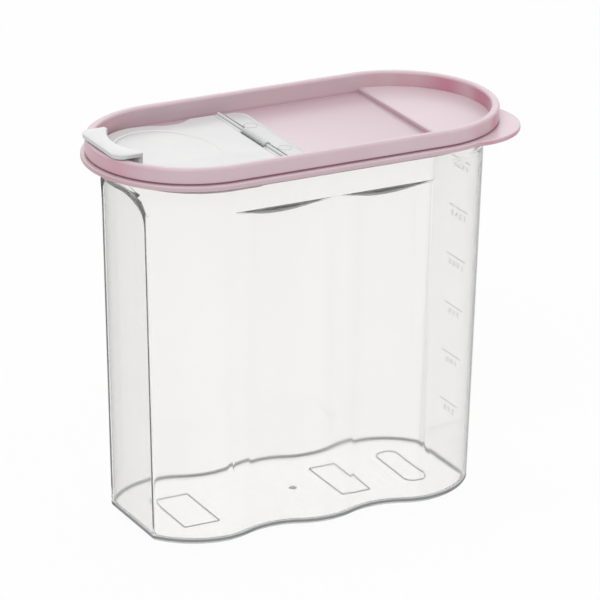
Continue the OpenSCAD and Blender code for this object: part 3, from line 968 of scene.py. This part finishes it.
@dataclass
class Lid:
    """The coloured press-on lid with its tray, collar, shadow groove, flange and pull ear."""

    lid_x: float = 54.1
    rim_x: float = 50.8
    inner_r: float = 43.8
    collar_r: float = 47.7
    flange_r: float = 49.7
    top_z: float = 188.0
    top_r: float = 1.2
    groove_z: float = 181.1
    groove_depth: float = 0.8
    flange_z: float = 177.8
    flange_top: float = 180.2
    edge_r: float = 0.7
    shelf_z: float = 178.5
    seat_z: float = 176.6
    well_z: float = 175.0
    well_under: float = 173.1
    well_x: float = -38.0
    deck_t: float = 1.9
    plug_r: float = 40.7
    plug_in_r: float = 39.1
    plug_z: float = 174.0
    skirt_r: float = 43.1
    skirt_out_r: float = 44.9
    skirt_z: float = 175.8
    step_x: float = 57.2
    raised_z: float = 181.0
    spout_x: float = -64.9
    hole: Triple = (24.15, 32.15, 20.0)
    ear_dist: float = 29.25
    ear_r: float = 28.7
    ear_turn: float = 40.0
    ear_soft: float = 0.35
    fillet: float = 0.7
    soft: float = 0.25
    near: float = 0.1
    groove_foot: float = 0.3
    skirt_edge: Pair = (0.5, 0.4)
    plug_edge: Pair = (0.5, 0.6)
    hole_edge: float = 0.3
    well_fillet: Pair = (0.6, 0.17)
    well_lip: Pair = (0.5, 0.15)
    step_edge: float = 0.8
    step_in: float = 0.4
    step_sunk: float = 0.5
    step_line: Line = ((59.2, 0.0), (74.1, 0.0))
    # Painted shade at the foot of the collar's inner wall, in the groove and on the tray strip round the
    # well's arc.
    foot_shade: float = 0.45
    groove_shade: float = 0.75
    end_columns: int = 110
    side_columns: int = 120
    shelf_shade: float = 0.35
    finish: SatinPolyethylene = SatinPolyethylene()
    spine: Array = field(init=False)
    out: Array = field(init=False)

    def __post_init__(self) -> None:
        """Lays out the racetrack: its middle line as shares of its half length, and its directions."""
        turn = np.linspace(-np.pi / 2, np.pi / 2, self.end_columns)
        along = np.linspace(1, -1, self.side_columns + 2)[1:-1]
        end = np.column_stack([np.cos(turn), np.sin(turn)])
        side = np.tile([0.0, 1.0], (len(along), 1))
        self.spine = np.concatenate([np.ones(len(turn)), along, -np.ones(len(turn)), -along])
        self.out = np.concatenate([end, side, -end, -side])

    def track(self, half: float, radius: float | Array) -> Array:
        """The racetrack outline of that half length and radius."""
        return np.outer(self.spine, (half, 0)) + self.out * np.reshape(radius, (-1, 1))

    def ear(self) -> Array:
        """How far the pull ear stands past the flange, round the racetrack.

        It is the distance from the round end's centre to the ear's circle, less the flange's
        radius, with the corners where the two meet softened.
        """
        angle = np.arctan2(self.out[:, 1], self.out[:, 0]) + np.radians(self.ear_turn)
        under = self.ear_r**2 - (self.ear_dist * np.sin(angle)) ** 2
        reach = self.ear_dist * np.cos(angle) + np.sqrt(np.maximum(under, 0))
        reach = np.where((under > 0) & (self.spine == 1), reach, 0) - self.flange_r
        return (reach + np.sqrt(reach**2 + self.ear_soft**2)) / 2 * (reach > -8)

    def well_edge(self) -> tuple[Array, Array, Array]:
        """The rim of the spout well, its arc's columns, and the pouring hole's rim.

        Columns left of the well's wall keep their place on the round end. The others fall on
        the wall along rays from the hole's middle, and the hole's rim is met by the same rays.
        """
        round_end = self.track(self.rim_x, self.plug_in_r)
        ray = round_end - [self.spout_x, 0]
        on_arc = round_end[:, 0] < self.well_x
        away = np.where(on_arc, 1.0, np.maximum(ray[:, 0], TINY))
        wall_y = (self.well_x - self.spout_x) * ray[:, 1] / away
        wall = np.column_stack([np.full(len(ray), self.well_x), wall_y])
        rim = np.where(on_arc[:, None], round_end, wall)
        seen = np.arctan2(rim[:, 1], rim[:, 0] - self.spout_x)
        far = reach_of(oval(*self.hole, count=90), seen)
        hole = np.column_stack([self.spout_x + far * np.cos(seen), far * np.sin(seen)])
        return rim, on_arc, hole

    def cover(self) -> bpy.types.Object:
        """Collar, flange, ear, skirts, tray floor and well as one surface carried round.

        The groove, the foot of the collar's inner wall and the strip of tray round the well's
        arc get painted shade.
        """
        rows: list[Array] = []
        depth: dict[int, float] = {}

        def add(
            half: float,
            profile: Iterable[Pair],
            extra: Array | float = 0.0,
            painted_shade: float = 0.0,
        ) -> None:
            """Carries a profile of radius and height round the racetrack."""
            for radius, height in profile:
                depth[len(rows)] = painted_shade
                rows.append(ring(self.track(half, radius + extra), height))

        def carry(outline: Array, profile: Iterable[Pair]) -> None:
            """Carries a profile of distance and height round another outline."""
            normal = outward(outline)
            rows.extend(ring(outline + normal * distance, height) for distance, height in profile)

        near, soft, fillet, ear = self.near, self.soft, self.fillet, self.ear()
        middle = self.top_z - self.top_r
        inside = self.collar_r - self.groove_depth
        edge = self.flange_r - self.edge_r
        foot = corner((self.inner_r - fillet, self.shelf_z + fillet), fillet, -90, 0, 5)
        # Painted shade at the foot of the collar's inner wall.
        add(self.lid_x, foot, painted_shade=self.foot_shade)
        add(self.lid_x, [(self.inner_r, self.shelf_z + fillet + near), (self.inner_r, middle - near)])
        add(self.lid_x, corner((self.inner_r + self.top_r, middle), self.top_r, 180, 90, 7))
        add(self.lid_x, corner((self.collar_r - self.top_r, middle), self.top_r, 90, 0, 7))
        add(self.lid_x, [(self.collar_r, middle - near), (self.collar_r, self.groove_z + soft + near)])
        add(self.lid_x, corner((self.collar_r - soft, self.groove_z + soft), soft, 0, -90, 4))
        # Painted shade in the groove.
        add(self.lid_x, [
            (inside + near, self.groove_z), (inside, self.groove_z - near),
            (inside, self.flange_top + near), (inside + near, self.flange_top),
        ], painted_shade=self.groove_shade)
        add(self.lid_x, [(self.collar_r + self.groove_foot, self.flange_top)])
        add(self.lid_x, [(edge - near, self.flange_top)], ear)
        add(self.lid_x, corner((edge, self.flange_top - self.edge_r), self.edge_r, 90, 0, 6), ear)
        add(self.lid_x, corner((edge, self.flange_z + self.edge_r), self.edge_r, 0, -90, 6), ear)
        add(self.lid_x, [(edge - near, self.flange_z)], ear)
        add(self.lid_x, [(self.collar_r, self.flange_z)])
        skirt = self.skirt_out_r
        add(self.rim_x, [(skirt + near, self.flange_z), (skirt, self.flange_z - near)])
        for radius, r, start, end in (
            (skirt - self.skirt_edge[0], self.skirt_edge[0], 0, -90),
            (self.skirt_r + self.skirt_edge[1], self.skirt_edge[1], 270, 180),
        ):
            add(self.rim_x, corner((radius, self.skirt_z + r), r, start, end, 4))
        slant, rise = self.plug_edge
        add(self.rim_x, [
            (self.skirt_r, self.seat_z), (self.plug_r, self.seat_z),
            (self.plug_r - near, self.plug_z + rise), (self.plug_r - slant, self.plug_z),
            (self.plug_in_r, self.plug_z),
        ])
        rim, on_arc, hole = self.well_edge()
        under = np.where(on_arc, self.plug_z + 0.01, self.seat_z)
        rows.append(ring(self.track(self.rim_x, self.plug_in_r), under))
        behind = rim + np.outer(~on_arc, (self.deck_t, 0))
        carry(behind, [(0, under), (0, self.well_under)])
        bevel = self.hole_edge
        carry(hole, [
            (0, self.well_under), (0, self.well_z - bevel), (bevel, self.well_z), (2 * bevel, self.well_z)
        ])
        (low_r, low_mid), (high_r, high_mid) = self.well_fillet, self.well_lip
        carry(rim, [
            (-low_r, self.well_z), (-low_mid, self.well_z + low_mid), (0, self.well_z + low_r),
            (0, self.shelf_z - high_r), (high_mid, self.shelf_z - high_mid), (high_r, self.shelf_z),
            (high_r + high_mid, self.shelf_z),
        ])
        # Painted shade by row, then on the tray strip round the well's arc.
        shade = np.zeros((len(rows), len(self.spine)))
        for row, painted_shade in depth.items():
            shade[row] = painted_shade
        shade[-2:, on_arc] = self.shelf_shade
        return grid_object("lid_cover_moulding", np.stack(rows), loop=True, depth=shade)

    def raised_floor(self) -> bpy.types.Object:
        """The raised end of the tray, with a rounded step across the lid."""
        radius = self.inner_r + self.step_in
        cut = np.degrees(np.arcsin((self.step_x - self.lid_x) / radius))
        arc = corner((self.lid_x, 0), radius, cut - 90, 90 - cut, 120)
        straight = np.linspace(arc[-1, 1], arc[0, 1], 60)[1:-1]
        outline = np.concatenate([arc, np.column_stack([np.full(len(straight), self.step_x), straight])])
        low = self.shelf_z - self.step_sunk
        grid = plate(outline, low, self.raised_z, self.step_edge, self.step_line, rows=8)
        return grid_object("lid_raised_floor", grid)

    def build(self) -> None:
        """Builds and dresses the lid's pieces."""
        satin = self.finish.material()
        settle(self.cover(), Body.LID, Slot.LID, satin, "lid_cover")
        settle(self.raised_floor(), Body.LID, Slot.LID, satin)


# ---------------------------------------------------------------- hinge plate


@dataclass
class HingePlate:
    """The milky bar pegged into the tray, with the clip for the flap's rod."""

    hinge_x: float = -19.8
    hinge_z: float = 180.9
    bore_r: float = 1.0
    clip_r: float = 2.0
    clip_half: float = 11.2
    plate_x: float = -17.5
    width: float = 9.8
    half: float = 37.3
    line_in: float = 5.0
    corner_r: float = 6.0
    small_r: float = 1.2
    edge: float = 0.45
    low: float = 178.5
    high: float = 181.0
    peg_x: float = -13.9
    peg_pitch: float = 34.6
    peg: Profile = (
        (0, 175.5), (2.2, 175.5), (2.5, 175.7), (3.2, 176.4),
        (3.15, 176.5), (2.8, 176.5), (2.8, 178.9), (0, 178.9),
    )
    boss: Profile = (
        (3.5, 180.7), (3.5, 181.02), (3.42, 181.1), (2.9, 181.1), (2.8, 181.02), (2.8, 180.7)
    )
    # Painted edge shade on the bosses' rings.
    boss_shade: float = 0.6
    line_x: float = -9.4
    line_end: float = 4.0
    line_deep: float = 0.25
    line_wide: float = 0.45
    ridge: float = 0.25
    ridge_pitch: float = 2.8
    clip_edge: float = 0.3
    clip_into: float = 0.4
    clip_columns: int = 72
    finish: MilkyPolypropylene = MilkyPolypropylene(
        colour=(0.66, 0.665, 0.66, 1.0), cloudy=(0.70, 0.702, 0.698, 1.0)
    )

    def relief(self, x: Array, y: Array) -> Array:
        """A straight sink line along the bar."""
        along = np.abs(y) < self.half - self.line_end
        return sink(x - self.line_x, self.line_deep, self.line_wide) * along

    def at_pegs(self, profile: Profile) -> list[Array]:
        """A profile turned round each peg."""
        return [lathe(np.array(profile), (self.peg_x, side * self.peg_pitch / 2)) for side in (-1, 1)]

    def bosses(self) -> bpy.types.Object:
        """Low round rings over the pegs, with painted shade."""
        return grid_object("hinge_bosses", *self.at_pegs(self.boss), loop=True, depth=self.boss_shade)

    def bar(self) -> bpy.types.Object:
        """The flat bar with its two round outer corners."""
        left, right = self.plate_x, self.plate_x + self.width
        r, small = self.corner_r, self.small_r
        far, near = self.half - r, self.half - small
        outline = np.concatenate([
            corner((right - r, far), r, 0, 90, 14),
            corner((left + small, near), small, 90, 180, 6),
            np.column_stack([np.full(70, left), np.linspace(near, -near, 72)[1:-1]]),
            corner((left + small, -near), small, 180, 270, 6),
            corner((right - r, -far), r, 270, 360, 14),
            np.column_stack([np.full(62, right), np.linspace(-far, far, 64)[1:-1]]),
        ])
        middle, end = (left + right) / 2, self.half - self.line_in
        line = ((middle, -end), (middle, end))
        grid = plate(outline, self.low, self.high, self.edge, line, self.relief, rows=20, support=0)
        return grid_object("hinge_bar", grid)

    def clip(self) -> bpy.types.Object:
        """The clip: a round tube on a block, bored for the rod and closed at both ends."""
        turn = np.linspace(0, 2 * np.pi, self.clip_columns, endpoint=False)
        x, z = np.cos(turn), np.sin(turn)
        wall = self.plate_x + self.clip_into - self.hinge_x
        to_wall = np.where(x > TINY, wall / np.maximum(x, TINY), 0)
        to_top = np.where(z > TINY, (self.high - self.hinge_z) / np.maximum(z, TINY), np.inf)
        to_low = np.where(z < -TINY, self.clip_r / np.maximum(-z, TINY), np.inf)
        block = np.where(x > TINY, np.minimum(np.minimum(to_wall, to_top), to_low), 0)
        far = np.maximum(self.clip_r, block)
        end, bore = self.clip_half, np.full_like(far, self.bore_r)
        inside, face = end - self.clip_edge, far - self.clip_edge
        ribs = [
            (far - self.ridge * (0.5 - 0.5 * np.cos(2 * np.pi * (inside - y) / self.ridge_pitch)), y)
            for y in np.linspace(-inside, inside, 65)
        ]
        profile = [(bore, -end), (face, -end), *ribs, (face, end), (bore, end)]
        grid = lathe_y(profile, (self.hinge_x, self.hinge_z), self.clip_columns)
        return grid_object("hinge_clip", grid, loop=True)

    def pegs(self) -> bpy.types.Object:
        """Two barbed pegs under the bar."""
        return grid_object("hinge_pegs", *self.at_pegs(self.peg))

    def build(self) -> None:
        """Builds and dresses the hinge plate's pieces."""
        milky = self.finish.material()
        settle(self.bar(), Body.LID, Slot.HINGE, milky, "hinge_plate")
        for piece in (self.bosses(), self.clip(), self.pegs()):
            settle(piece, Body.LID, Slot.HINGE, milky)


# ---------------------------------------------------------------- flip spout


@dataclass
class FlipSpout:
    """The milky flap: sheet, sealing ring, rod and thumb tab."""

    spout_x: float = -64.9
    head: Triple = (29.8, 38.8, 24.0)
    seal: Triple = (23.8, 31.8, 20.0)
    seal_t: float = 1.5
    seal_z: float = 172.9
    low: float = 179.2
    high: float = 181.0
    shoulder_b: float = 38.6
    shoulder_x: float = -36.2
    flank_x: float = -57.45
    flank_b: float = 37.6
    waist: Triple = (-46.2, 50.5, 16.0)
    hinge_x: float = -19.8
    hinge_z: float = 180.9
    rod_r: float = 0.95
    rod_edge: float = 0.3
    window_b: float = 11.7
    window_x: float = -22.3
    window_r: float = 1.2
    nose_x: float = -68.9
    edge: float = 0.5
    rows: int = 90
    sink_deep: float = 0.16
    sink_wide: float = 0.7
    strip_r: float = 0.5
    strip_edge: float = 0.3
    strip_low: float = 0.1
    seal_edge: float = 0.4
    seal_foot: Pair = (0.5, 0.4)
    into: float = 0.3
    spine: Line = ((-78.0, 0.0), (-30.0, 0.0))
    ease: Pair = (2.0, 1.1)
    tab_edge: float = 0.45
    tab_end: float = 0.25
    tab_x: float = -61.3
    tab_r: float = 33.1
    tab_wall: float = 1.9
    tab_half: float = 18.5
    lip_low: float = 188.6
    lip_high: float = 190.6
    lip_x: float = -100.6
    lip_half: float = 20.0
    lip_corner: float = 6.0
    lip_l: float = 13.5
    finish: MilkyPolypropylene = MilkyPolypropylene("milky_flap")
    # The tab's painted edge shade is lighter.
    tab_finish: MilkyPolypropylene = MilkyPolypropylene("milky_tab", edge=(0.62, 0.65, 0.64, 1.0))

    def side_y(self, x: Array) -> Array:
        """Half width of the flap at x: the head's oval, its waist's hollow and its shoulders, eased."""
        a, b, end_r = self.head
        shape = oval(a, b, end_r, 200)
        upper = shape[shape[:, 1] > 0]
        order = np.argsort(upper[:, 0])

        def plain(at: Array) -> Array:
            """Half width before it is eased."""
            width = np.interp(at - self.spout_x, upper[order, 0], upper[order, 1])
            flank = (at > self.flank_x) & (at < self.shoulder_x + 1)
            width = np.where(flank, np.maximum(width, self.flank_b), width)
            width = np.where(at > self.shoulder_x, self.shoulder_b, width)
            middle, centre, radius = self.waist
            hollow = centre - np.sqrt(np.maximum(radius**2 - (at - middle) ** 2, 0))
            return np.where(np.abs(at - middle) < radius, np.minimum(width, hollow), width)

        far, wide = self.ease
        reach = np.linspace(-far, far, 17)
        weight = np.exp(-((reach / wide) ** 2))
        samples = plain(np.minimum(x[:, None] + reach, self.window_x))
        return (samples * weight).sum(1) / weight.sum()

    def outline(self) -> Array:
        """Counter-clockwise outline of the sheet, without the strip of its hinge."""
        nose = oval(*self.head, 120) + [self.spout_x, 0]
        nose = nose[nose[:, 0] < self.nose_x]
        angle = np.arctan2(nose[:, 1], nose[:, 0] - self.spout_x)
        nose = nose[np.argsort(np.mod(angle, 2 * np.pi))]
        small = self.window_r
        x = np.linspace(self.window_x - small, self.nose_x, 150)
        top = np.column_stack([x, self.side_y(x)])
        end_y = top[0, 1] - small
        back = np.column_stack([np.full(60, self.window_x), np.linspace(-end_y, end_y, 60)])
        turn_up = corner((self.window_x - small, end_y), small, 0, 90, 6)[1:-1]
        turn_down = corner((self.window_x - small, -end_y), small, 270, 360, 6)[1:-1]
        return np.concatenate([back, turn_up, top, nose, top[::-1] * [1, -1], turn_down])

    def relief(self, x: Array, y: Array) -> Array:
        """A shallow sink line where the sealing ring stands under the sheet."""
        shape = oval(*(np.array(self.seal) - self.seal_t / 2), 60)
        far = reach_of(shape, np.arctan2(y, x - self.spout_x))
        return sink(np.hypot(x - self.spout_x, y) - far, self.sink_deep, self.sink_wide)

    def sheet(self) -> bpy.types.Object:
        """The flap's sheet with rounded edges, with painted shade along them."""
        grid = plate(self.outline(), self.low, self.high, self.edge, self.spine, self.relief, self.rows)
        return grid_object("flap_sheet", grid, depth=plate_edge_shade(grid, self.rows))

    def knuckles(self) -> bpy.types.Object:
        """The strips that join the sheet to the rod at both sides of the clip."""
        left, right, edge = self.window_x - self.into, self.hinge_x, self.strip_edge
        low, high = self.low, self.high - self.strip_low
        middle = (left + right) / 2
        half = ((right - left) / 2, (self.shoulder_b - self.window_b) / 2)
        strips = []
        for side in (-1, 1):
            centre = side * (self.shoulder_b + self.window_b) / 2
            outline = rounded((middle, centre), half, self.strip_r, 4)
            axis = np.clip(outline, (middle, centre - half[1] + 1), (middle, centre + half[1] - 1))
            inner = outline - outward(outline) * edge
            strips.append(np.stack([
                ring(axis, low), ring(inner, low), ring(outline, low + edge),
                ring(outline, high - edge), ring(inner, high), ring(axis, high),
            ]))
        return grid_object("flap_knuckles", *strips)

    def seal_ring(self) -> bpy.types.Object:
        """The oval ring under the sheet that closes the pouring hole."""
        outer, inner = (
            oval(*(np.array(self.seal) - thick), 60) + [self.spout_x, 0] for thick in (0, self.seal_t)
        )
        inset = outward(outer) * self.seal_edge
        top, low = self.low + self.seal_edge, self.seal_z
        rows = [
            ring(outer, top), ring(outer, low + self.seal_foot[0]), ring(outer - inset, low),
            ring(inner + inset, low), ring(inner, low + self.seal_foot[1]), ring(inner, top),
        ]
        return grid_object("flap_seal_ring", np.stack(rows), loop=True)

    def rod(self) -> bpy.types.Object:
        """The hinge rod along Y, with rounded ends."""
        end, soft = self.shoulder_b, self.rod_edge
        stations = [(0, -end), (self.rod_r - soft, -end), (self.rod_r, soft - end)]
        profile = stations + [(radius, -y) for radius, y in stations[::-1]]
        return grid_object("flap_rod", lathe_y(profile, (self.hinge_x, self.hinge_z), 40))

    def section(
        self, left: Array, right: Array, y: Array, low: float, high: float
    ) -> Array:
        """A bar along Y, whose section is a box with rounded edges.

        Columns run round the section and rows run along Y; both ends close on a line.

        Args:
            left: X of the section's left side, at each y.
            right: X of its right side.
            y: Where the sections stand.
            low: Height of the underside.
            high: Height of the top.

        Returns:
            The grid of the closed bar.
        """
        edge, middle_z = self.tab_edge, (low + high) / 2
        box = rounded((0, 0), (2, 2), 1, 5)
        away = np.sign(box)
        turned = (box - away) * edge
        across = np.where(away[:, 0] > 0, right[:, None] - edge, left[:, None] + edge) + turned[:, 0]
        tall = np.where(away[:, 1] > 0, high - edge, low + edge) + turned[:, 1]
        body = np.stack(np.broadcast_arrays(across, y[:, None], tall), -1)

        def cap(at: int, move: float) -> tuple[Array, Array]:
            """The line that closes one end, and the row before it, a little inside the section."""
            inner = body[at].copy()
            inner[:, 0] += np.sign((left[at] + right[at]) / 2 - inner[:, 0]) * self.tab_end
            inner[:, 1] += move
            inner[:, 2] += np.sign(middle_z - inner[:, 2]) * self.tab_end
            line = inner.copy()
            line[:, 2] = middle_z
            return line, inner

        first, last = cap(0, -self.tab_end), cap(-1, self.tab_end)
        return np.stack([*first, *body, *last[::-1]])

    def tab(self) -> bpy.types.Object:
        """The thumb tab: a curved wall at the nose with a lip over the collar."""
        hollow = self.tab_r - self.tab_wall
        y = self.tab_half * np.sin(np.linspace(-np.pi / 2, np.pi / 2, 60))
        outer = self.tab_x - np.sqrt(self.tab_r**2 - y**2)
        inner = self.tab_x - np.sqrt(hollow**2 - y**2)
        wall = self.section(outer, inner, y, self.low, self.lip_high - self.into)
        y = (self.lip_half - self.tab_end) * np.sin(np.linspace(-np.pi / 2, np.pi / 2, 80))
        past = np.maximum(np.abs(y) - (self.lip_half - self.lip_corner), 0)
        front = self.lip_x + self.lip_corner - np.sqrt(self.lip_corner**2 - past**2)
        arc = self.tab_x - np.sqrt(hollow**2 - np.minimum(np.abs(y), self.lip_half) ** 2)
        rear = np.minimum(arc, self.lip_x + self.lip_l)
        lip = self.section(front, rear, y, self.lip_low, self.lip_high)
        return grid_object("flap_thumb_tab", wall, lip)

    def build(self) -> None:
        """Builds and dresses the flap's pieces."""
        milky = self.finish.material()
        settle(self.sheet(), Body.FLAP, Slot.FLAP, milky, "spout_flap")
        for piece in (self.knuckles(), self.seal_ring(), self.rod()):
            settle(piece, Body.FLAP, Slot.FLAP, milky)
        settle(self.tab(), Body.FLAP, Slot.FLAP, self.tab_finish.material())


# ---------------------------------------------------------------- studio

WHITE = (1.0, 1.0, 1.0, 1.0)
PALE = (0.9, 0.9, 0.9, 1.0)
# Rays that see the floor and the surroundings white; the others are only lit by them.
SEEN = ("Is Camera Ray", "Is Glossy Ray", "Is Transmission Ray")


@dataclass
class Studio:
    """Pale floor, soft lamps, white surroundings and the camera at the photograph's angle."""

    azimuth: float = -27.88
    elevation: float = 21.194
    roll: float = 0.678
    distance: float = 2192.6
    aim: Pair = (5.26, 91.54)
    lens: float = 276.75
    shift: Pair = (-0.0062, -0.0005)
    ambient: float = 0.66
    kept_shadow: float = 0.09
    sensor: float = 36.0
    floor_half: float = 3.0
    target: Triple = (0.0, 0.0, 0.1)
    lamps: tuple[tuple[str, Triple, float, float], ...] = (
        ("key_lamp", (-0.9, -0.9, 1.5), 1.0, 10.0),
        ("fill_lamp", (1.2, -1.0, 0.9), 1.0, 4.0),
        ("back_lamp", (0.75, 1.4, 0.85), 1.2, 3.2),
        ("top_lamp", (0.1, 0.3, 1.7), 1.0, 3.0),
    )

    def camera(self) -> None:
        """Stands the camera on its sphere round the aim, rolled as the photograph is."""
        turn, lift, tilt = (np.radians(v) for v in (self.azimuth, self.elevation, self.roll))
        back = np.array([np.sin(turn) * np.cos(lift), -np.cos(turn) * np.cos(lift), np.sin(lift)])
        right = np.cross(-back, [0, 0, 1])
        right /= np.linalg.norm(right)
        up = np.cross(right, -back)
        place = (back * self.distance + right * self.aim[0] + up * self.aim[1]) * MM
        x_axis = right * np.cos(tilt) + up * np.sin(tilt)
        y_axis = -right * np.sin(tilt) + up * np.cos(tilt)
        lens = bpy.data.cameras.new("camera")
        lens.lens, lens.sensor_width = self.lens, self.sensor
        lens.shift_x, lens.shift_y = self.shift
        camera = linked("camera", lens)
        turned = Matrix(np.column_stack([x_axis, y_axis, back]).tolist()).to_4x4()
        camera.matrix_world = Matrix.Translation(place.tolist()) @ turned
        bpy.context.scene.camera = camera

    def lamp(self, name: str, place: Triple, size: float, power: float) -> None:
        """A square soft lamp at a place in metres, aimed at the middle of the object."""
        light = bpy.data.lights.new(name, "AREA")
        light.size, light.energy = size, power
        lamp = linked(name, light)
        aim = Vector(place) - Vector(self.target)
        lamp.matrix_world = Matrix.Translation(place) @ aim.to_track_quat("Z", "Y").to_matrix().to_4x4()

    def floor(self) -> None:
        """A pale floor that shows white and keeps a soft shadow."""
        mesh = bpy.data.meshes.new("floor")
        half = self.floor_half
        corners = [(-half, -half, 0), (half, -half, 0), (half, half, 0), (-half, half, 0)]
        mesh.from_pydata(corners, [], [(0, 1, 2, 3)])
        made = bpy.data.materials.new("floor_white")
        graph = Graph(made)
        card = graph.out("ShaderNodeBsdfDiffuse", {"Color": PALE})
        glow = graph.out("ShaderNodeEmission", {"Color": WHITE, "Strength": 1.0})
        graph.finish(graph.mix(graph.ray(*SEEN) * (1 - self.kept_shadow), card, glow))
        mesh.materials.append(made)
        linked("floor", mesh)

    def world(self) -> None:
        """Surroundings that light plainly and show white."""
        world = bpy.data.worlds.new("surroundings")
        bpy.context.scene.world = world
        graph = Graph(world)
        strength = graph.ray(*SEEN) * (1 - self.ambient) + self.ambient
        sky = graph.out("ShaderNodeBackground", {"Color": WHITE, "Strength": strength})
        graph.finish(sky, "ShaderNodeOutputWorld")

    def build(self) -> None:
        """Builds the studio."""
        self.camera()
        self.floor()
        self.world()
        for lamp in self.lamps:
            self.lamp(*lamp)
        bpy.context.scene.view_settings.view_transform = "Standard"


def main() -> None:
    """Builds every sub-assembly, then the studio."""
    logging.basicConfig(level=logging.INFO, format="%(name)s: %(message)s")
    for assembly in (Container(), Lid(), HingePlate(), FlipSpout(), Studio()):
        assembly.build()
        log.info("built %s", type(assembly).__name__)


if __name__ == "__main__":
    main()
